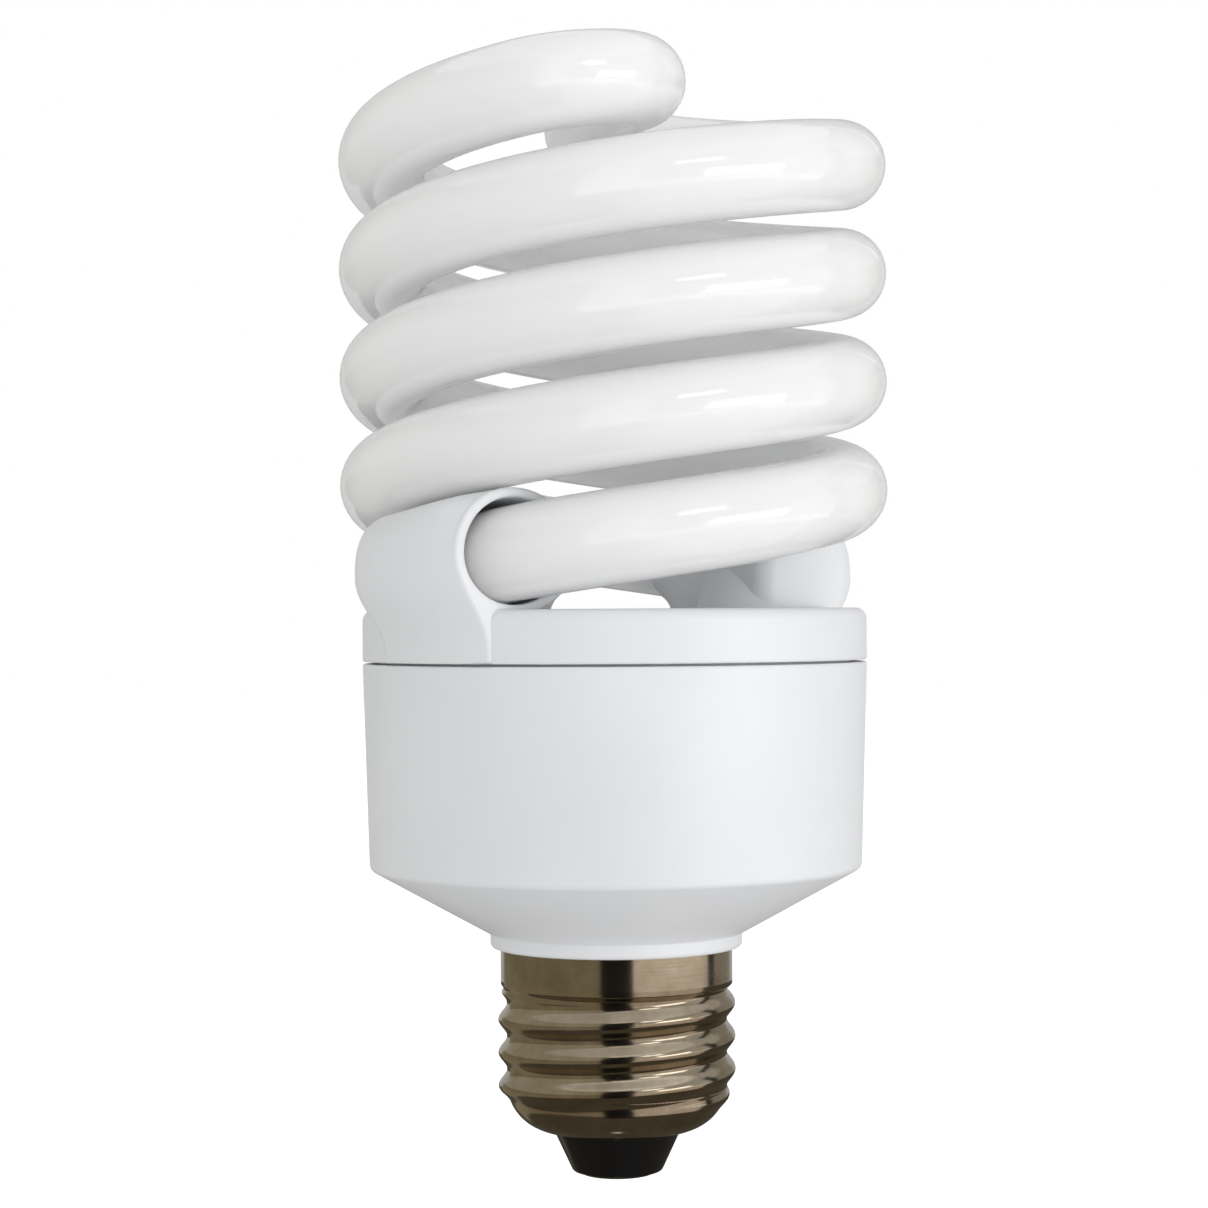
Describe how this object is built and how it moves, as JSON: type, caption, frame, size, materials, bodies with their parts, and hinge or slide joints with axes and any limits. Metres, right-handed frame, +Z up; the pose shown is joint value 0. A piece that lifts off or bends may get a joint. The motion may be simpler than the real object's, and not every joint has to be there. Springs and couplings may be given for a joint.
{
  "type": "spiral energy saving bulb",
  "caption": "Energy saving lamp with a coated glass double-helix tube, a white ballast housing with hooded tube ends, and an Edison screw cap.",
  "frame": {"origin": "centre of the lowest face of the centre contact, on the lamp's axis", "axes": "+Z up along the axis from the cap to the top of the glass; -Y is the side that the picture shows"},
  "size_m": [0.0599, 0.06, 0.123],
  "materials": {
    "glass_coated": "gloss",
    "plastic_white": "satin",
    "cap_nickel": "satin",
    "cap_glass_black": "gloss",
    "contact_brass": "satin",
    "board_paper": "matte",
    "capacitor_sleeve": "gloss",
    "ferrite": "matte",
    "bobbin_nylon": "matte",
    "copper_wire": "gloss",
    "film_dip": "gloss",
    "green_lacquer": "gloss",
    "epoxy_black": "matte",
    "resistor_lacquer": "matte",
    "tinned_wire": "satin",
    "sleeve_red": "satin",
    "sleeve_white": "satin"
  },
  "bodies": {
    "root": {"spiral_tube": "glass_coated", "upper_cover": "plastic_white", "lower_housing": "plastic_white", "screw_shell": "cap_nickel", "cap_insulator": "cap_glass_black", "centre_contact": "contact_brass", "circuit_board": "board_paper", "electrolytic_capacitor": "capacitor_sleeve", "choke_core": "ferrite", "choke_bobbin": "bobbin_nylon", "choke_winding": "copper_wire", "ring_transformer_core": "green_lacquer", "ring_transformer_windings": "copper_wire", "switching_transistors": "epoxy_black", "resonant_capacitor": "film_dip", "filter_capacitor": "film_dip", "start_capacitor": "green_lacquer", "filter_inductor_core": "ferrite", "filter_inductor_winding": "copper_wire", "rectifier_diodes": "epoxy_black", "trigger_diodes": "epoxy_black", "fusible_resistor": "green_lacquer", "small_resistors": "resistor_lacquer", "thermistor": "epoxy_black", "wrap_pins": "tinned_wire", "tube_lead_wires": "tinned_wire", "live_lead": "sleeve_red", "neutral_lead": "sleeve_white"}
  },
  "joints": []
}
